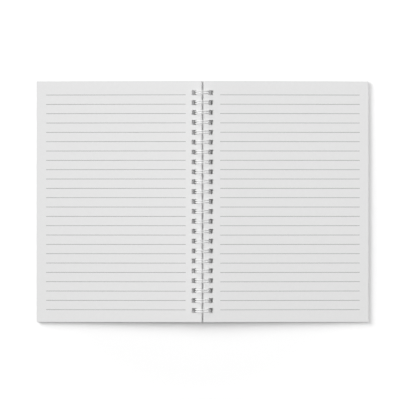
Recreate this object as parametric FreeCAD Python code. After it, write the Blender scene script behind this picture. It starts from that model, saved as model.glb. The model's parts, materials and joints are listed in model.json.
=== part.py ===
import FreeCAD, Part
import math
import os

# Open wire-bound notebook, lying spread on its covers, in millimetres.
# +X to the reader's right, +Y to the head of the pages, +Z up.
# The origin is on the table, midway between the halves and midway along the wire.

# Leaves and covers
sheet_width = 141.4
sheet_height = 206.5
sheet_thickness = 0.1
leaves_per_side = 24
cover_thickness = 0.35
page_drop = 0.1  # the top page lies this far under the axis of the wire
cover_gap = 0.05  # between the lowest leaf and its cover
halves_gap = 0.2  # between the spine edges of the two covers

# Punching, three holes to the inch
hole_pitch = 25.4 / 3
hole_margin = 8.0  # the least from the head or foot of a sheet to the middle of a hole
hole_size = 4.1
hole_clearance = 0.3  # between the wire and the spine side of its hole

# Twin-loop wire
wire_diameter = 1.0
ring_radius = 6.0  # to the middle of the wire
finger_width = 1.85  # between the middles of a finger's two wires
root_bend = 1.0  # radius where a finger turns into the spine of the wire
seam_angle = 300.0  # where the finger tips meet the spine of the wire, from +X over +Z
seam_gap = 0.4  # between a tip and the bends that it points at
wire_sides = 6
ring_steps = 12  # straight pieces from the root of a finger round to the table
bend_steps = 2  # straight pieces in a quarter turn

# Ruling printed on the two open pages
rule_pitch = 8.0
rule_width = 0.3
rule_length = 119.7
head_margin = 11.9  # from the head of the page to the middle of the first rule
foot_margin = 8.0  # the least left under the last rule
front_fore_margin = 8.2
back_fore_margin = 7.5

wire_radius = wire_diameter / 2
inner_radius = ring_radius - wire_radius
pages_top = -page_drop
pages_bottom = pages_top - leaves_per_side * sheet_thickness
cover_top = pages_bottom - cover_gap
cover_bottom = cover_top - cover_thickness
hole_start = inner_radius - hole_clearance
hole_count = int((sheet_height - 2 * hole_margin) / hole_pitch) + 1
rule_count = int((sheet_height - head_margin - foot_margin) / rule_pitch) + 1
axis_line = FreeCAD.Vector(0, 1, 0)
origin = FreeCAD.Vector(0, 0, 0)


def lean(level):
    # How far a sheet at this level has slid inward, because the wire curves in under the axis.
    return inner_radius - math.sqrt(inner_radius**2 - level**2)


spine_edge = halves_gap / 2 + lean(cover_bottom)


def lying_angle():
    # The slope that brings the low outer edge of the cover down to the table.
    reach = spine_edge + sheet_width - lean(cover_bottom)
    fall = math.asin(axis_height / math.hypot(reach, cover_bottom))
    return math.degrees(fall - math.atan2(-cover_bottom, reach))


def leaning_slab(start, width, top, bottom, length):
    # A slab on the right side whose two long faces follow the wire's curve, so its sheets are fanned.
    def at(offset, level):
        return FreeCAD.Vector(offset - lean(level), -length / 2, level)

    middle = (top + bottom) / 2
    corners = [at(start, top), at(start + width, top), at(start + width, bottom), at(start, bottom)]
    outline = [
        Part.makeLine(corners[0], corners[1]),
        Part.Arc(corners[1], at(start + width, middle), corners[2]).toShape(),
        Part.makeLine(corners[2], corners[3]),
        Part.Arc(corners[3], at(start, middle), corners[0]).toShape(),
    ]
    return Part.Face(Part.Wire(outline)).extrude(FreeCAD.Vector(0, length, 0))


def hole_places():
    first = -hole_pitch * (hole_count - 1) / 2
    return [first + hole_pitch * n for n in range(hole_count)]


def punched(slab, top, bottom):
    past = min(sheet_thickness, page_drop)
    punch = leaning_slab(hole_start, hole_size, top + past, bottom - past, hole_size)
    holes = []
    for place in hole_places():
        hole = punch.copy()
        hole.translate(FreeCAD.Vector(0, place, 0))
        holes.append(hole)
    return slab.cut(Part.makeCompound(holes))


def ruled(block, fore_margin):
    # The rules are outlines on the top page: printed, so they add no height.
    fore_edge = spine_edge + sheet_width - lean(pages_top)
    left = fore_edge - fore_margin - rule_length
    rules = []
    for line in range(rule_count):
        middle = sheet_height / 2 - head_margin - line * rule_pitch
        corner = FreeCAD.Vector(left, middle - rule_width / 2, pages_top)
        rules.append(Part.makePlane(rule_length, rule_width, corner))
    pieces = block.generalFuse(rules)[0]
    return pieces.Solids[0]


def laid_down(shape, side):
    # Mirrors a right-hand piece for the left side, slopes it to the table and lifts it to the wire.
    if side == "left":
        shape = shape.mirror(origin, FreeCAD.Vector(1, 0, 0))
    slope = lying_angle() if side == "right" else -lying_angle()
    shape.rotate(origin, axis_line, slope)
    shape.translate(FreeCAD.Vector(0, 0, axis_height))
    return shape


def page_block(side, fore_margin):
    block = leaning_slab(spine_edge, sheet_width, pages_top, pages_bottom, sheet_height)
    return laid_down(ruled(punched(block, pages_top, pages_bottom), fore_margin), side)


def cover(side):
    board = leaning_slab(spine_edge, sheet_width, cover_top, cover_bottom, sheet_height)
    return laid_down(punched(board, cover_top, cover_bottom), side)


def arc_points(centre, start, axis, degrees, steps):
    # The ends of the straight pieces that follow an arc, after its start.
    points = []
    for step in range(1, steps + 1):
        turn = FreeCAD.Rotation(axis, degrees * step / steps)
        points.append(centre + turn.multVec(start - centre))
    return points


def finger_ends():
    # A finger leaves the spine of the wire past its bend and stops short of it again on the far side.
    away = root_bend + finger_width / 2
    apart = 2 * wire_radius + seam_gap + finger_width / 2 + root_bend
    tip_reach = math.sqrt(max(apart**2 - away**2, 0)) - root_bend
    root = seam_angle + math.degrees(root_bend / ring_radius)
    tip = seam_angle + 360 - math.degrees(tip_reach / ring_radius)
    return root, tip


def facing(degrees):
    turn = math.radians(degrees)
    return FreeCAD.Vector(math.cos(turn), 0, math.sin(turn))


def ring_point(degrees, y):
    return facing(degrees) * ring_radius + axis_line * y


def ring_corners(y):
    # The corners of the straight pieces that follow the ring. Each piece touches the true circle: the first
    # at the root, the last at the tip, and one at the lowest place, where it lies flat on the table.
    root, tip = finger_ends()
    lowest = 270 + 360
    touches = [root + (lowest - root) * step / ring_steps for step in range(ring_steps + 1)] + [tip]
    corners = []
    for start, end in zip(touches, touches[1:]):
        reach = ring_radius / math.cos(math.radians((end - start) / 2))
        corners.append(facing((start + end) / 2) * reach + axis_line * y)
    return corners


def spine_point(y):
    # On the straight part of the wire, which runs along the book one bend away from the roots of the fingers.
    root = finger_ends()[0]
    return ring_point(root, y) - facing(root + 90) * root_bend


def finger_path(y):
    # The middle of the wire from its spine, round the ring, through the tip and back round to the spine.
    half = finger_width / 2
    away = half + root_bend
    root, tip = finger_ends()
    outward = facing(root)
    points = [spine_point(y - away)]
    points += arc_points(ring_point(root, y - away), points[-1], outward, 90, bend_steps)
    points += ring_corners(y - half) + [ring_point(tip, y - half)]
    points += arc_points(ring_point(tip, y), points[-1], facing(tip), -180, 2 * bend_steps)
    points += ring_corners(y + half)[::-1] + [ring_point(root, y + half)]
    points += arc_points(ring_point(root, y + away), points[-1], outward, 90, bend_steps)
    return points


def swept_wire(path, outward):
    # Straight prisms along the path, mitred where they meet. Their flat sides touch the round wire's skin,
    # and one of them faces outward from the ring.
    ways = [(b - a).normalize() for a, b in zip(path, path[1:])]
    across = outward * (wire_radius / math.cos(math.pi / wire_sides))
    section = []
    for side in range(wire_sides):
        turn = FreeCAD.Rotation(ways[0], 360 * (side + 0.5) / wire_sides)
        section.append(path[0] + turn.multVec(across))
    faces = [Part.Face(Part.makePolygon(section + section[:1]))]
    for number, way in enumerate(ways):
        end = path[number + 1]
        mitre = way + ways[number + 1] if number + 1 < len(ways) else way
        moved = [p + way * ((end - p).dot(mitre) / way.dot(mitre)) for p in section]
        for side in range(wire_sides):
            after = (side + 1) % wire_sides
            corners = [section[side], section[after], moved[after], moved[side], section[side]]
            faces.append(Part.Face(Part.makePolygon(corners)))
        section = moved
    faces.append(Part.Face(Part.makePolygon(section + section[:1])))
    shell = Part.makeShell(faces)
    shell.sewShape()
    return Part.makeSolid(shell)


def binding():
    # The wire is cut off half way between two fingers at each end.
    places = hole_places()
    path = [spine_point(places[0] - hole_pitch / 2)]
    for y in places:
        path += finger_path(y)
    path.append(spine_point(places[-1] + hole_pitch / 2))
    return swept_wire(path, facing(finger_ends()[0]))


wire = binding()
axis_height = -wire.BoundBox.ZMin  # the ring rests on the table
wire.translate(FreeCAD.Vector(0, 0, axis_height))

parts = {
    "front_cover": cover("left"),
    "front_pages": page_block("left", front_fore_margin),
    "back_pages": page_block("right", back_fore_margin),
    "back_cover": cover("right"),
    "wire_binding": wire,
}

os.makedirs("parts", exist_ok=True)
for name, shape in parts.items():
    shape.exportStep(f"parts/{name}.step")
    box = shape.BoundBox
    print(f"{name}: valid {shape.isValid()}, solids {len(shape.Solids)}, volume {shape.Volume:.1f} mm3, "
          f"z {box.ZMin:.3f} to {box.ZMax:.3f}")
print(f"axis height {axis_height:.3f}, slope {lying_angle():.4f} degrees, "
      f"closing turn {180 + 2 * lying_angle():.3f} degrees")
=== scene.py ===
import json
import math

import bpy
from mathutils import Matrix, Vector


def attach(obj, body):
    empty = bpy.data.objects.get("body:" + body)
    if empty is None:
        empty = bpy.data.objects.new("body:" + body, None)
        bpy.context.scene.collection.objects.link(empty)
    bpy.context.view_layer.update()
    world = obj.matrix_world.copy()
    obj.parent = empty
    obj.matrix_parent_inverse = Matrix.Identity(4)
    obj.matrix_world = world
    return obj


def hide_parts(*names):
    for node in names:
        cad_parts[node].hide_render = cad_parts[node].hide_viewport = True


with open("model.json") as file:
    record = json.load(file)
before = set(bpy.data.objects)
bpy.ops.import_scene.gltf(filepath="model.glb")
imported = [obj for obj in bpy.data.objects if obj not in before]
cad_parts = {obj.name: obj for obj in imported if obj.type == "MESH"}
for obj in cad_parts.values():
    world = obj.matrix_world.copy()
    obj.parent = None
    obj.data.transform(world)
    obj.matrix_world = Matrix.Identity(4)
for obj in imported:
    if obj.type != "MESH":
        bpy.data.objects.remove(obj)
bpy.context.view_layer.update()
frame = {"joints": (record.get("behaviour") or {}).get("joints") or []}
mm = 0.001
weldWithin = 0.001 * mm  # corners nearer than this become one

hinge = next(joint for joint in frame["joints"] if joint["name"] == "front_cover_hinge")
axisHeight = hinge["pos_m"][2]
slope = math.radians((hinge["range_deg"][1] - 180) / 2)  # each half leans down to the table by this much
scene = bpy.context.scene

# What both halves share. Levels are measured from the wire's axis, square to the leaves.
bookSettings = {
    "sheetWidth": 141.4 * mm,
    "sheetHeight": 206.5 * mm,
    "holeCount": 23,
    "holePitch": 25.4 / 3 * mm,
    "holeSize": 4.1 * mm,
    "holeCorner": 0.35 * mm,
    "wireInside": 5.5 * mm,  # the wire's inner radius, which the fanned sheets follow
    "holeStart": 5.2 * mm,
    "spineEdge": 0.927 * mm,
    "combWidth": 10.2 * mm,  # the strip beside the spine that holds the row of holes
    "liftStart": 55 * mm,  # how far from the wire the top leaves begin to rise
}


def linearColour(hexCode):
    channels = [int(hexCode[n : n + 2], 16) / 255 for n in (1, 3, 5)]
    return (*[c / 12.92 if c <= 0.04045 else ((c + 0.055) / 1.055) ** 2.4 for c in channels], 1.0)


def addNode(tree, kind, settings=None, **links):
    # A link is named for its socket, with underscores for spaces, or nN for socket number N.
    # A list puts several links on one socket.
    node = tree.nodes.new(kind)
    for key, value in (settings or {}).items():
        setattr(node, key, value)
    for key, value in links.items():
        socket = node.inputs[int(key[1:]) if key[0] == "n" and key[1:].isdigit() else key.replace("_", " ")]
        for one in value if isinstance(value, list) else [value]:
            if isinstance(one, bpy.types.NodeSocket):
                tree.links.new(one, socket)
            else:
                socket.default_value = one
    return node


def newTree(name, sizes):
    tree = bpy.data.node_groups.new(name, "GeometryNodeTree")
    for label, kind in sizes.items():
        tree.interface.new_socket(label, in_out="INPUT", socket_type=kind)
    tree.interface.new_socket("Geometry", in_out="OUTPUT", socket_type="NodeSocketGeometry")
    return tree, tree.nodes.new("NodeGroupInput").outputs, tree.nodes.new("NodeGroupOutput").inputs


def meshFromTree(name, tree, values):
    # Runs a tree once on a small carrier object and keeps what it makes as a plain mesh.
    carrier = bpy.data.objects.new(name + "Carrier", bpy.data.meshes.new(name))
    scene.collection.objects.link(carrier)
    modifier = carrier.modifiers.new("Build", "NODES")
    modifier.node_group = tree
    for item in tree.interface.items_tree:
        if item.in_out == "INPUT" and item.name in values:
            modifier[item.identifier] = values[item.name]
    bpy.context.view_layer.update()
    evaluated = carrier.evaluated_get(bpy.context.evaluated_depsgraph_get())
    mesh = bpy.data.meshes.new_from_object(evaluated)
    carrier.modifiers.clear()
    bpy.data.objects.remove(carrier)
    mesh.name = name
    piece = bpy.data.objects.new(name, mesh)
    scene.collection.objects.link(piece)
    return piece


def mathNode(tree, operation, first, second=0.0, third=0.0):
    return addNode(tree, "ShaderNodeMath", {"operation": operation}, n0=first, n1=second, n2=third).outputs[0]


def leanOf(tree, level, inside):
    # How far a sheet at this level has slid in along the wire.
    insideSquared = mathNode(tree, "MULTIPLY", inside, inside)
    levelSquared = mathNode(tree, "MULTIPLY", level, level)
    under = mathNode(tree, "SUBTRACT", insideSquared, levelSquared)
    return mathNode(tree, "SUBTRACT", inside, mathNode(tree, "SQRT", under))


def liftedEdge(tree, geometry, share, lift, start, end):
    # Bends sheets up towards their fore edge. Paper bends one way only, so the rise follows x alone.
    place = addNode(tree, "GeometryNodeInputPosition").outputs[0]
    across = addNode(tree, "ShaderNodeSeparateXYZ", n0=place).outputs[0]
    ramp = addNode(tree, "ShaderNodeMapRange", {"interpolation_type": "SMOOTHSTEP"},
                   Value=across, From_Min=start, From_Max=end).outputs[0]
    rise = mathNode(tree, "MULTIPLY", mathNode(tree, "MULTIPLY", ramp, lift), share)
    offset = addNode(tree, "ShaderNodeCombineXYZ", Z=rise).outputs[0]
    return addNode(tree, "GeometryNodeSetPosition", Geometry=geometry, Offset=offset).outputs[0]


def laidDown(tree, geometry, side, leanAngle, height):
    # Side is 1 for the right half and -1 for the left, which is the right half mirrored.
    mirror = addNode(tree, "ShaderNodeCombineXYZ", X=side, Y=1.0, Z=1.0).outputs[0]
    mirrored = addNode(tree, "GeometryNodeTransform", Geometry=geometry, Scale=mirror).outputs[0]
    isLeft = addNode(tree, "FunctionNodeCompare", {"operation": "LESS_THAN"}, n0=side, n1=0.0).outputs[0]
    facing = addNode(tree, "GeometryNodeFlipFaces", Mesh=mirrored, Selection=isLeft).outputs[0]
    turn = addNode(tree, "ShaderNodeCombineXYZ", Y=mathNode(tree, "MULTIPLY", side, leanAngle)).outputs[0]
    up = addNode(tree, "ShaderNodeCombineXYZ", Z=height).outputs[0]
    return addNode(tree, "GeometryNodeTransform", Geometry=facing, Translation=up, Rotation=turn).outputs[0]


def punchedStackTree():
    floatSocket, intSocket = "NodeSocketFloat", "NodeSocketInt"
    tree, given, result = newTree("punchedStack", {
        "Sheets": intSocket, "Width": floatSocket, "Height": floatSocket, "Thickness": floatSocket,
        "Spacing": floatSocket, "Top": floatSocket, "Spine Edge": floatSocket, "Wire Inside": floatSocket,
        "Holes": intSocket, "Hole Pitch": floatSocket, "Hole Size": floatSocket, "Hole Corner": floatSocket,
        "Hole Start": floatSocket, "Comb Width": floatSocket, "Columns": intSocket, "Play": floatSocket,
        "Lift": floatSocket, "Lift Start": floatSocket, "Seed": intSocket, "Side": floatSocket,
        "Slope": floatSocket, "Axis Height": floatSocket, "Finish": "NodeSocketMaterial",
    })
    pitch, comb = given["Hole Pitch"], given["Comb Width"]

    # one punched cell of the comb beside the spine
    half = mathNode(tree, "MULTIPLY", comb, 0.5)
    outline = addNode(tree, "GeometryNodeCurvePrimitiveQuadrilateral", Width=comb, Height=pitch).outputs[0]
    placed = addNode(tree, "GeometryNodeTransform", Geometry=outline,
                     Translation=addNode(tree, "ShaderNodeCombineXYZ", X=half).outputs[0]).outputs[0]
    hole = addNode(tree, "GeometryNodeCurvePrimitiveQuadrilateral",
                   Width=given["Hole Size"], Height=given["Hole Size"]).outputs[0]
    rounded = addNode(tree, "GeometryNodeFilletCurve", {"mode": "POLY"}, Curve=hole, n1=3,
                      Radius=given["Hole Corner"]).outputs[0]
    toHole = mathNode(tree, "SUBTRACT", given["Hole Start"], given["Spine Edge"])
    toHole = mathNode(tree, "MULTIPLY_ADD", given["Hole Size"], 0.5, toHole)
    punched = addNode(tree, "GeometryNodeTransform", Geometry=rounded,
                      Translation=addNode(tree, "ShaderNodeCombineXYZ", X=toHole).outputs[0]).outputs[0]
    both = addNode(tree, "GeometryNodeJoinGeometry", Geometry=[placed, punched]).outputs[0]
    cell = addNode(tree, "GeometryNodeFillCurve", Curve=both).outputs[0]

    # the cell repeated at every hole
    lessOne = mathNode(tree, "SUBTRACT", given["Holes"], 1.0)
    firstHole = mathNode(tree, "MULTIPLY", mathNode(tree, "MULTIPLY", lessOne, pitch), -0.5)
    places = addNode(tree, "GeometryNodeMeshLine", Count=given["Holes"],
                     Start_Location=addNode(tree, "ShaderNodeCombineXYZ", Y=firstHole).outputs[0],
                     Offset=addNode(tree, "ShaderNodeCombineXYZ", Y=pitch).outputs[0]).outputs[0]
    cells = addNode(tree, "GeometryNodeInstanceOnPoints", Points=places, Instance=cell).outputs[0]
    cells = addNode(tree, "GeometryNodeRealizeInstances", Geometry=cells).outputs[0]

    # the field of the page and the two unpunched ends of the comb, on rows that meet the cells' corners
    rows = mathNode(tree, "ADD", given["Holes"], 3.0)
    tall = mathNode(tree, "MULTIPLY", mathNode(tree, "ADD", given["Holes"], 2.0), pitch)
    fieldWidth = mathNode(tree, "SUBTRACT", given["Width"], comb)
    field = addNode(tree, "GeometryNodeMeshGrid", Size_X=fieldWidth, Size_Y=tall,
                    Vertices_X=given["Columns"], Vertices_Y=rows).outputs[0]
    fieldMiddle = mathNode(tree, "MULTIPLY_ADD", fieldWidth, 0.5, comb)
    field = addNode(tree, "GeometryNodeTransform", Geometry=field,
                    Translation=addNode(tree, "ShaderNodeCombineXYZ", X=fieldMiddle).outputs[0]).outputs[0]
    ends = addNode(tree, "GeometryNodeMeshGrid", Size_X=comb, Size_Y=tall,
                   Vertices_X=2, Vertices_Y=rows).outputs[0]
    ends = addNode(tree, "GeometryNodeTransform", Geometry=ends,
                   Translation=addNode(tree, "ShaderNodeCombineXYZ", X=half).outputs[0]).outputs[0]
    position = addNode(tree, "GeometryNodeInputPosition").outputs[0]
    along = addNode(tree, "ShaderNodeSeparateXYZ", n0=position).outputs[1]
    punchedReach = mathNode(tree, "MULTIPLY", mathNode(tree, "MULTIPLY", given["Holes"], pitch), 0.5)
    isCell = addNode(tree, "FunctionNodeCompare", {"operation": "LESS_THAN"},
                     n0=mathNode(tree, "ABSOLUTE", along), n1=punchedReach).outputs[0]
    ends = addNode(tree, "GeometryNodeDeleteGeometry", {"domain": "FACE"},
                   Geometry=ends, Selection=isCell).outputs[0]
    whole = addNode(tree, "GeometryNodeJoinGeometry", Geometry=[cells, field, ends]).outputs[0]
    whole = addNode(tree, "GeometryNodeMergeByDistance", Geometry=whole, Distance=weldWithin).outputs[0]

    # cut to the page's height, then given its thickness
    limit = mathNode(tree, "MULTIPLY", given["Height"], 0.5)
    low = mathNode(tree, "MULTIPLY", limit, -1.0)
    parts = addNode(tree, "ShaderNodeSeparateXYZ", n0=position).outputs
    clamped = mathNode(tree, "MAXIMUM", mathNode(tree, "MINIMUM", parts[1], limit), low)
    cut = addNode(tree, "ShaderNodeCombineXYZ", X=parts[0], Y=clamped,
                  Z=mathNode(tree, "MULTIPLY", given["Thickness"], -1.0)).outputs[0]
    under = addNode(tree, "GeometryNodeSetPosition", Geometry=whole, Position=cut).outputs[0]
    raised = addNode(tree, "GeometryNodeExtrudeMesh", Mesh=under, Offset_Scale=given["Thickness"],
                     Individual=False).outputs[0]
    turned = addNode(tree, "GeometryNodeFlipFaces", Mesh=under).outputs[0]
    sheet = addNode(tree, "GeometryNodeJoinGeometry", Geometry=[raised, turned]).outputs[0]
    sheet = addNode(tree, "GeometryNodeMergeByDistance", Geometry=sheet, Distance=weldWithin).outputs[0]

    # the stack, fanned along the wire, each sheet with a little play on it
    stack = addNode(tree, "GeometryNodeMeshLine", Count=given["Sheets"],
                    Start_Location=addNode(tree, "ShaderNodeCombineXYZ", Z=given["Top"]).outputs[0],
                    Offset=addNode(tree, "ShaderNodeCombineXYZ",
                                   Z=mathNode(tree, "MULTIPLY", given["Spacing"], -1.0)).outputs[0]).outputs[0]
    level = addNode(tree, "ShaderNodeSeparateXYZ", n0=position).outputs[2]
    levelUnder = mathNode(tree, "SUBTRACT", level, given["Thickness"])
    inward = mathNode(tree, "SUBTRACT", given["Spine Edge"], leanOf(tree, levelUnder, given["Wire Inside"]))
    play = given["Play"]
    lowPlay = mathNode(tree, "MULTIPLY", play, -1.0)
    playX = addNode(tree, "FunctionNodeRandomValue", n2=0.0, n3=play, n8=given["Seed"]).outputs[1]
    playY = addNode(tree, "FunctionNodeRandomValue", n2=lowPlay, n3=play,
                    n8=mathNode(tree, "ADD", given["Seed"], 7.0)).outputs[1]
    across = mathNode(tree, "SUBTRACT", inward, playX)
    shift = addNode(tree, "ShaderNodeCombineXYZ", X=across, Y=playY).outputs[0]
    stack = addNode(tree, "GeometryNodeSetPosition", Geometry=stack, Offset=shift).outputs[0]
    sheets = addNode(tree, "GeometryNodeInstanceOnPoints", Points=stack, Instance=sheet).outputs[0]

    # only the top few leaves rise, each less than the one over it
    order = addNode(tree, "GeometryNodeInputIndex").outputs[0]
    depth = mathNode(tree, "DIVIDE", order, given["Sheets"])
    share = mathNode(tree, "POWER", mathNode(tree, "SUBTRACT", 1.0, depth), 4.0)
    sheets = addNode(tree, "GeometryNodeStoreNamedAttribute", {"data_type": "FLOAT", "domain": "INSTANCE"},
                     Geometry=sheets, Name="liftShare", Value=share).outputs[0]
    sheets = addNode(tree, "GeometryNodeRealizeInstances", Geometry=sheets).outputs[0]
    kept = addNode(tree, "GeometryNodeInputNamedAttribute", {"data_type": "FLOAT"},
                   Name="liftShare").outputs[0]
    reach = mathNode(tree, "ADD", given["Spine Edge"], given["Width"])
    sheets = liftedEdge(tree, sheets, kept, given["Lift"], given["Lift Start"], reach)
    sheets = addNode(tree, "GeometryNodeRemoveAttribute", Geometry=sheets, Name="liftShare").outputs[0]
    laid = laidDown(tree, sheets, given["Side"], given["Slope"], given["Axis Height"])
    laid = addNode(tree, "GeometryNodeSetMaterial", Geometry=laid, Material=given["Finish"]).outputs[0]
    tree.links.new(laid, result["Geometry"])
    return tree


def rulingTree():
    floatSocket = "NodeSocketFloat"
    tree, given, result = newTree("ruling", {
        "Rules": "NodeSocketInt", "Pitch": floatSocket, "Length": floatSocket, "Line Width": floatSocket,
        "First": floatSocket, "Middle": floatSocket, "Level": floatSocket, "Columns": "NodeSocketInt",
        "Lift": floatSocket, "Lift Start": floatSocket, "Lift End": floatSocket, "Side": floatSocket,
        "Slope": floatSocket, "Axis Height": floatSocket, "Finish": "NodeSocketMaterial",
    })
    rule = addNode(tree, "GeometryNodeMeshGrid", Size_X=given["Length"], Size_Y=given["Line Width"],
                   Vertices_X=given["Columns"], Vertices_Y=2).outputs[0]
    start = addNode(tree, "ShaderNodeCombineXYZ",
                    X=given["Middle"], Y=given["First"], Z=given["Level"]).outputs[0]
    down = addNode(tree, "ShaderNodeCombineXYZ", Y=mathNode(tree, "MULTIPLY", given["Pitch"], -1.0)).outputs[0]
    places = addNode(tree, "GeometryNodeMeshLine",
                     Count=given["Rules"], Start_Location=start, Offset=down).outputs[0]
    rules = addNode(tree, "GeometryNodeInstanceOnPoints", Points=places, Instance=rule).outputs[0]
    rules = addNode(tree, "GeometryNodeRealizeInstances", Geometry=rules).outputs[0]
    rules = liftedEdge(tree, rules, 1.0, given["Lift"], given["Lift Start"], given["Lift End"])
    laid = laidDown(tree, rules, given["Side"], given["Slope"], given["Axis Height"])
    laid = addNode(tree, "GeometryNodeSetMaterial", Geometry=laid, Material=given["Finish"]).outputs[0]
    tree.links.new(laid, result["Geometry"])
    return tree


wireSettings = {
    "wireDiameter": 1.0 * mm,
    "ringRadius": 6.0 * mm,  # to the middle of the wire
    "fingerWidth": 1.85 * mm,
    "rootBend": 1.0 * mm,
    "seamAngle": 300.0,  # degrees round from +X over +Z
    "seamGap": 0.4 * mm,
    "ringSteps": 56,
    "bendSteps": 6,
    "wireSides": 14,
}


def arcPoints(centre, start, axis, degrees, steps):
    return [centre + Matrix.Rotation(math.radians(degrees * n / steps), 3, axis) @ (start - centre)
            for n in range(1, steps + 1)]


def fingerPath():
    # The middle line of one finger of the wire, from half way along the run before it to the bend after it.
    s = wireSettings
    half, bend, radius = s["fingerWidth"] / 2, s["rootBend"], s["ringRadius"]
    apart = s["wireDiameter"] + s["seamGap"] + half + bend
    tipReach = math.sqrt(apart**2 - (bend + half) ** 2) - bend
    root = s["seamAngle"] + math.degrees(bend / radius)
    tip = s["seamAngle"] + 360 - math.degrees(tipReach / radius)
    spread = bookSettings["holePitch"] / 2

    def ring(degrees, y):
        turn = math.radians(degrees)
        return Vector((radius * math.cos(turn), y, radius * math.sin(turn)))

    outward, outwardTip, along = ring(root, 0).normalized(), ring(tip, 0).normalized(), Vector((0, 1, 0))
    onward = along.cross(outward) * -1  # the way the wire goes round the ring
    corner = ring(root, -half - bend)
    start = corner - onward * bend
    points = [Vector((start.x, -spread, start.z)), start]
    points += arcPoints(corner, start, outward, 90, s["bendSteps"])
    points += arcPoints(Vector((0, -half, 0)), points[-1], -along, tip - root, s["ringSteps"])
    points += arcPoints(ring(tip, 0), points[-1], outwardTip, -180, 2 * s["bendSteps"])
    points += arcPoints(Vector((0, half, 0)), points[-1], along, tip - root, s["ringSteps"])
    points += arcPoints(ring(root, half + bend), points[-1], outward, 90, s["bendSteps"])
    return [point + Vector((0, 0, axisHeight)) for point in points]


def twinLoopTree():
    floatSocket = "NodeSocketFloat"
    tree, given, result = newTree("twinLoop", {
        "Finger": "NodeSocketObject", "Points": "NodeSocketInt", "Fingers": "NodeSocketInt",
        "Pitch": floatSocket, "Wire Radius": floatSocket, "Sides": "NodeSocketInt",
        "Finish": "NodeSocketMaterial",
    })
    finger = addNode(tree, "GeometryNodeObjectInfo", n0=given["Finger"]).outputs["Geometry"]
    count = mathNode(tree, "MULTIPLY_ADD", given["Points"], given["Fingers"], 1.0)  # and the last run's end
    line = addNode(tree, "GeometryNodeMeshLine", Count=count).outputs[0]
    path = addNode(tree, "GeometryNodeMeshToCurve", Mesh=line).outputs[0]
    order = addNode(tree, "GeometryNodeInputIndex").outputs[0]
    step = mathNode(tree, "MODULO", order, given["Points"])
    passed = mathNode(tree, "DIVIDE", mathNode(tree, "ADD", order, 0.5), given["Points"])
    number = mathNode(tree, "FLOOR", passed)
    position = addNode(tree, "GeometryNodeInputPosition").outputs[0]
    sampled = addNode(tree, "GeometryNodeSampleIndex", {"data_type": "FLOAT_VECTOR", "domain": "POINT"},
                      Geometry=finger, Value=position, Index=step).outputs[0]
    middle = mathNode(tree, "MULTIPLY", mathNode(tree, "SUBTRACT", given["Fingers"], 1.0), 0.5)
    along = mathNode(tree, "MULTIPLY", mathNode(tree, "SUBTRACT", number, middle), given["Pitch"])
    shift = addNode(tree, "ShaderNodeCombineXYZ", Y=along).outputs[0]
    path = addNode(tree, "GeometryNodeSetPosition", Geometry=path, Position=sampled, Offset=shift).outputs[0]
    section = addNode(tree, "GeometryNodeCurvePrimitiveCircle", Resolution=given["Sides"],
                      Radius=given["Wire Radius"]).outputs[0]
    tube = addNode(tree, "GeometryNodeCurveToMesh", n0=path, n1=section, Fill_Caps=True).outputs[0]
    tube = addNode(tree, "GeometryNodeSetShadeSmooth", Geometry=tube).outputs[0]
    tube = addNode(tree, "GeometryNodeRealizeInstances", Geometry=tube).outputs[0]
    tube = addNode(tree, "GeometryNodeSetMaterial", Geometry=tube, Material=given["Finish"]).outputs[0]
    tree.links.new(tube, result["Geometry"])
    return tree


def newMaterial(name):
    material = bpy.data.materials.new(name)
    material.use_nodes = True
    tree = material.node_tree
    tree.nodes.clear()
    shader = addNode(tree, "ShaderNodeBsdfPrincipled")
    addNode(tree, "ShaderNodeOutputMaterial", Surface=shader.outputs[0])
    coordinates = addNode(tree, "ShaderNodeTexCoord").outputs["Object"]
    return material, tree, shader, coordinates


def mottled(tree, shader, coordinates, hexLight, hexDark, patchSize, detail):
    # Two near tones in soft clouds, patchSize across.
    clouds = addNode(tree, "ShaderNodeTexNoise", Vector=coordinates,
                     Scale=1 / patchSize, Detail=detail, Roughness=0.6)
    tone = addNode(tree, "ShaderNodeMix", {"data_type": "RGBA"}, n0=clouds.outputs[0],
                   n6=linearColour(hexDark), n7=linearColour(hexLight)).outputs[2]
    tree.links.new(tone, shader.inputs["Base Color"])


def bumped(tree, shader, height, distance, strength):
    bump = addNode(tree, "ShaderNodeBump", Height=height, Distance=distance, Strength=strength)
    tree.links.new(bump.outputs[0], shader.inputs["Normal"])


def woodfreePaper():
    # Uncoated offset paper: matt and bright, with the faint cloudy look-through of its fibres.
    material, tree, shader, coordinates = newMaterial("woodfreePaper")
    mottled(tree, shader, coordinates, "#E3E3E3", "#DEDEDE", 2.5 * mm, 4)
    shader.inputs["Roughness"].default_value = 0.88
    shader.inputs["Specular IOR Level"].default_value = 0.2
    fibres = addNode(tree, "ShaderNodeTexNoise", Vector=coordinates,
                     Scale=1 / (0.45 * mm), Detail=5, Roughness=0.65)
    bumped(tree, shader, fibres.outputs[0], 0.01 * mm, 0.35)
    return material


def offsetInk():
    # Grey ink printed from a plate: a thin matt film, a little uneven where the fibres took less of it.
    material, tree, shader, coordinates = newMaterial("offsetRuleInk")
    mottled(tree, shader, coordinates, "#6E6E6E", "#5E5E5E", 0.6 * mm, 3)
    shader.inputs["Roughness"].default_value = 0.75
    shader.inputs["Specular IOR Level"].default_value = 0.25
    return material


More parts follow.
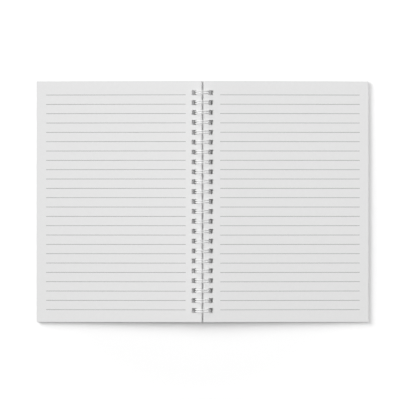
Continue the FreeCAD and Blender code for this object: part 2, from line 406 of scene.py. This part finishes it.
def coatedBoard():
    # White cover board with a machine finish: smooth and matt, with a faint long grain.
    material, tree, shader, coordinates = newMaterial("machineFinishedBoard")
    mottled(tree, shader, coordinates, "#E2E2E2", "#DCDCDC", 4 * mm, 4)
    shader.inputs["Roughness"].default_value = 0.85
    shader.inputs["Specular IOR Level"].default_value = 0.15
    stretched = addNode(tree, "ShaderNodeMapping", Vector=coordinates, Scale=(1.0, 0.2, 1.0)).outputs[0]
    grain = addNode(tree, "ShaderNodeTexNoise", Vector=stretched, Scale=1 / (0.5 * mm), Detail=4, Roughness=0.6)
    bumped(tree, shader, grain.outputs[0], 0.012 * mm, 0.3)
    return material


def nylonCoatedSteel():
    # Steel wire dipped in white nylon: nearly matt, with a soft orange-peel ripple that breaks up the highlight.
    material, tree, shader, coordinates = newMaterial("nylonCoatedSteelWire")
    mottled(tree, shader, coordinates, "#DEDEDE", "#DADADA", 1.5 * mm, 2)
    shader.inputs["Roughness"].default_value = 0.58
    shader.inputs["IOR"].default_value = 1.53
    shader.inputs["Specular IOR Level"].default_value = 0.3
    shader.inputs["Coat Weight"].default_value = 0.05
    shader.inputs["Coat Roughness"].default_value = 0.3
    ripple = addNode(tree, "ShaderNodeTexNoise", Vector=coordinates,
                     Scale=1 / (0.35 * mm), Detail=2, Roughness=0.5)
    bumped(tree, shader, ripple.outputs[0], 0.01 * mm, 0.25)
    return material


# Each half is -1 for the left and 1 for the right.
sideNames = {-1: "front", 1: "back"}
leafSettings = {
    "sheets": 24,
    "thickness": 0.094 * mm,
    "spacing": 0.1 * mm,
    "top": -0.1 * mm,
    "columns": 25,
    "play": 0.04 * mm,
    "lift": 0.07 * mm,  # less than the top leaf lies under the axis, so the halves close clear of each other
    "seed": {-1: 2, 1: 4},
}
coverSettings = {
    "sheets": 1,
    "thickness": 0.35 * mm,
    "spacing": 0.35 * mm,
    "top": -2.55 * mm,
    "columns": 8,
    "play": 0.0,
    "lift": 0.0,
    "seed": {-1: 1, 1: 1},
}
ruleSettings = {
    "count": 24,
    "pitch": 8.0 * mm,
    "length": 119.7 * mm,
    "lineWidth": 0.3 * mm,
    "headMargin": 11.9 * mm,
    "foreMargin": {-1: 8.2 * mm, 1: 7.5 * mm},
    "inkHeight": 0.012 * mm,
    "columns": 40,
}


def makeStack(name, tree, side, settings, finish):
    b, s = bookSettings, settings
    return meshFromTree(name, tree, {
        "Sheets": s["sheets"], "Width": b["sheetWidth"], "Height": b["sheetHeight"] - 2 * s["play"],
        "Thickness": s["thickness"], "Spacing": s["spacing"], "Top": s["top"],
        "Spine Edge": b["spineEdge"], "Wire Inside": b["wireInside"], "Holes": b["holeCount"],
        "Hole Pitch": b["holePitch"], "Hole Size": b["holeSize"], "Hole Corner": b["holeCorner"],
        "Hole Start": b["holeStart"], "Comb Width": b["combWidth"], "Columns": s["columns"],
        "Play": s["play"], "Lift": s["lift"], "Lift Start": b["liftStart"], "Seed": s["seed"][side],
        "Side": float(side), "Slope": slope, "Axis Height": axisHeight, "Finish": finish,
    })


def makeLeaves(tree, side, finish):
    leaves = makeStack(sideNames[side] + "Leaves", tree, side, leafSettings, finish)
    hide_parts(sideNames[side] + "_pages")
    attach(leaves, sideNames[side] + "_leaves")
    return leaves


def makeCover(tree, side, finish):
    cover = makeStack(sideNames[side] + "CoverBoard", tree, side, coverSettings, finish)
    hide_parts(sideNames[side] + "_cover")
    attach(cover, sideNames[side] + "_cover")
    return cover


def makeRules(tree, side, finish):
    b, s = bookSettings, ruleSettings
    foreEdge = b["spineEdge"] + b["sheetWidth"]
    rules = meshFromTree(sideNames[side] + "Ruling", tree, {
        "Rules": s["count"], "Pitch": s["pitch"], "Length": s["length"], "Line Width": s["lineWidth"],
        "First": b["sheetHeight"] / 2 - s["headMargin"],
        "Middle": foreEdge - s["foreMargin"][side] - s["length"] / 2,
        "Level": leafSettings["top"] + s["inkHeight"], "Columns": s["columns"], "Lift": leafSettings["lift"],
        "Lift Start": b["liftStart"], "Lift End": foreEdge, "Side": float(side), "Slope": slope,
        "Axis Height": axisHeight, "Finish": finish,
    })
    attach(rules, sideNames[side] + "_leaves")


def makeWire(finish):
    points = fingerPath()
    path = bpy.data.meshes.new("fingerPath")
    path.from_pydata(points, [(n, n + 1) for n in range(len(points) - 1)], [])
    guide = bpy.data.objects.new("fingerPath", path)
    scene.collection.objects.link(guide)
    wire = meshFromTree("twinLoopWire", twinLoopTree(), {
        "Finger": guide, "Points": len(points), "Fingers": bookSettings["holeCount"],
        "Pitch": bookSettings["holePitch"], "Wire Radius": wireSettings["wireDiameter"] / 2,
        "Sides": wireSettings["wireSides"], "Finish": finish,
    })
    bpy.data.objects.remove(guide)
    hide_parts("wire_binding")
    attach(wire, "binding")
    return wire


stackTree, ruleTree = punchedStackTree(), rulingTree()
paper, ink, board, coatedWire = woodfreePaper(), offsetInk(), coatedBoard(), nylonCoatedSteel()
sheets = []
for side in sideNames:
    sheets += [makeLeaves(stackTree, side, paper), makeCover(stackTree, side, board)]
    makeRules(ruleTree, side, ink)
print("leaves, covers and ruling made")
makeWire(coatedWire)
print("twin-loop wire made")


tableSettings = {
    "size": 4.0,
    "whiteness": "#FCFCFC",
    "glowNear": 0.03,  # what the camera sees added to the table under the book
    "glowFar": 0.6,
    "glowStart": 0.15,
    "glowEnd": 0.6,
}


def seamlessPaper():
    # A matt white studio sweep. Towards the edges of the picture the camera sees it brighter than it is, so it
    # reads as plain white all over, and it lights the book no more for that.
    material, tree, shader, coordinates = newMaterial("seamlessStudioPaper")
    shader.inputs["Base Color"].default_value = linearColour(tableSettings["whiteness"])
    shader.inputs["Roughness"].default_value = 1.0
    shader.inputs["Specular IOR Level"].default_value = 0.0
    s = tableSettings
    away = addNode(tree, "ShaderNodeVectorMath", {"operation": "LENGTH"}, n0=coordinates).outputs["Value"]
    level = addNode(tree, "ShaderNodeMapRange", Value=away, From_Min=s["glowStart"], From_Max=s["glowEnd"],
                    To_Min=s["glowNear"], To_Max=s["glowFar"]).outputs[0]
    glow = addNode(tree, "ShaderNodeEmission", Strength=mathNode(tree, "MULTIPLY", cameraSees(tree), level))
    both = addNode(tree, "ShaderNodeAddShader", n0=shader.outputs[0], n1=glow.outputs[0]).outputs[0]
    output = next(node for node in tree.nodes if node.type == "OUTPUT_MATERIAL")
    tree.links.new(both, output.inputs["Surface"])
    return material


def makeTable():
    size = tableSettings["size"] / 2
    mesh = bpy.data.meshes.new("tableSweep")
    mesh.from_pydata([(-size, -size, 0), (size, -size, 0), (size, size, 0), (-size, size, 0)], [], [(0, 1, 2, 3)])
    mesh.materials.append(seamlessPaper())
    table = bpy.data.objects.new("tableSweep", mesh)
    scene.collection.objects.link(table)


lightSettings = {
    "windowFrom": (-3.4, 2.6, 5.0),
    "windowSize": 3.4,
    "windowLevel": 0.14,  # what each light adds to a white sheet lying flat, where 1 is plain white
    "sideWindowFrom": (-4.1, 3.0, 2.55),
    "sideWindowLevel": 0.40,
    "ceilingFrom": (0.25, 0.1, 0.85),
    "ceilingSize": 0.15,
    "ceilingLevel": 0.22,
    "skyLevel": 0.31,
}


def cameraSees(tree):
    # 1 for what is seen straight, mirrored or through something clear, and 0 for light that only falls on things.
    rays = addNode(tree, "ShaderNodeLightPath").outputs
    indirect = mathNode(tree, "MAXIMUM", rays["Is Glossy Ray"], rays["Is Transmission Ray"])
    return mathNode(tree, "MAXIMUM", rays["Is Camera Ray"], indirect)


def makeLamp(name, place, size, level):
    # A round soft light facing the middle of the table, strong enough to light it to the level.
    light = bpy.data.lights.new(name, "AREA")
    light.shape = "DISK"
    light.size = size
    light.energy = level * math.pi**2 * place.length ** 3 / place.z
    lamp = bpy.data.objects.new(name, light)
    lamp.location = place
    lamp.rotation_mode = "QUATERNION"
    lamp.rotation_quaternion = place.to_track_quat("Z", "Y")
    scene.collection.objects.link(lamp)
    return lamp


def makeLight(sheets):
    s = lightSettings
    makeLamp("windowLight", Vector(s["windowFrom"]), s["windowSize"], s["windowLevel"])
    # These two throw the shadow of the sheets alone, so the wire's own is as faint as in a bright room.
    ceiling = makeLamp("ceilingLight", Vector(s["ceilingFrom"]), s["ceilingSize"], s["ceilingLevel"])
    sideWindow = makeLamp("sideWindowLight", Vector(s["sideWindowFrom"]), s["windowSize"], s["sideWindowLevel"])
    blockers = bpy.data.collections.new("shadowingSheets")
    for sheet in sheets:
        blockers.objects.link(sheet)
    for lamp in (ceiling, sideWindow):
        lamp.light_linking.blocker_collection = blockers
    world = bpy.data.worlds.new("whiteRoom")
    world.use_nodes = True
    tree = world.node_tree
    tree.nodes.clear()
    strength = mathNode(tree, "MULTIPLY_ADD", cameraSees(tree), 1.0 - s["skyLevel"], s["skyLevel"])
    sky = addNode(tree, "ShaderNodeBackground", Color=(1.0, 1.0, 1.0, 1.0), Strength=strength)
    addNode(tree, "ShaderNodeOutputWorld", Surface=sky.outputs[0])
    scene.world = world


cameraSettings = {
    "height": 1.3,
    "pageHeight": 4.5 * mm,  # the middle of the sloping pages, where the scale is true
    "millimetresPerPixel": 0.8565,
    "imagePixels": 400,
    "bookCentre": (202.5, 201.6),  # pixels of the photograph
    "sensor": 36.0,
}


def makeCamera():
    s = cameraSettings
    camera = bpy.data.cameras.new("overhead")
    seenWidth = s["millimetresPerPixel"] * s["imagePixels"] * mm
    distance = s["height"] - s["pageHeight"]
    camera.sensor_width = s["sensor"]
    camera.lens = s["sensor"] * distance / seenWidth
    camera.clip_end = 20.0
    holder = bpy.data.objects.new("overhead", camera)
    centre = s["imagePixels"] / 2
    holder.location = ((centre - s["bookCentre"][0]) * s["millimetresPerPixel"] * mm,
                       (s["bookCentre"][1] - centre) * s["millimetresPerPixel"] * mm, s["height"])
    scene.collection.objects.link(holder)
    scene.camera = holder


makeTable()
makeLight(sheets)
makeCamera()
scene.view_settings.view_transform = "Standard"
print("table, light and camera made")
